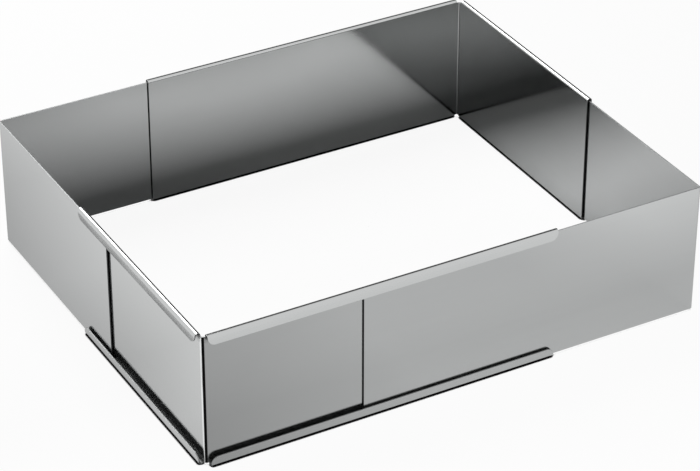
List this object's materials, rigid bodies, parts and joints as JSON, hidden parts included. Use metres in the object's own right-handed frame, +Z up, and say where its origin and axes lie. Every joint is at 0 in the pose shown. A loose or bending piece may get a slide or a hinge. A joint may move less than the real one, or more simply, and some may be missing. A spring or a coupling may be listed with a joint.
{
  "type": "adjustable cake frame",
  "caption": "Bottomless rectangular baking frame of bent stainless sheet; plain corner angles slide in rolled rails of the others, so length and width adjust.",
  "frame": {"origin": "centre of the frame's footprint, on the surface it stands on", "axes": "+X along the frame's length, +Y along its width towards the rear rail angle, +Z up"},
  "size_m": [0.334, 0.279, 0.0879],
  "materials": {
    "rail_steel": "bright rolled stainless sheet, fine grain",
    "slide_steel": "bright rolled stainless sheet, fine grain"
  },
  "bodies": {
    "front_corner": {"front_rail_angle": "rail_steel"},
    "right_corner": {"right_slide_angle": "slide_steel"},
    "left_corner": {"left_slide_angle": "slide_steel"},
    "rear_corner": {"rear_rail_angle": "rail_steel"}
  },
  "joints": [
    {"name": "length_slide", "type": "slide", "parent": "front_corner", "child": "right_corner", "axis": [1, 0, 0], "range_m": [-0.097, 0.107]},
    {"name": "width_slide", "type": "slide", "parent": "front_corner", "child": "left_corner", "axis": [0, 1, 0], "range_m": [-0.116, 0.014]},
    {"name": "rear_width_slide", "type": "slide", "parent": "right_corner", "child": "rear_corner", "axis": [0, 1, 0], "range_m": [-0.116, 0.014]}
  ],
  "couplings": [
    {"joint": "rear_width_slide", "follows": "width_slide", "ratio": 1}
  ]
}
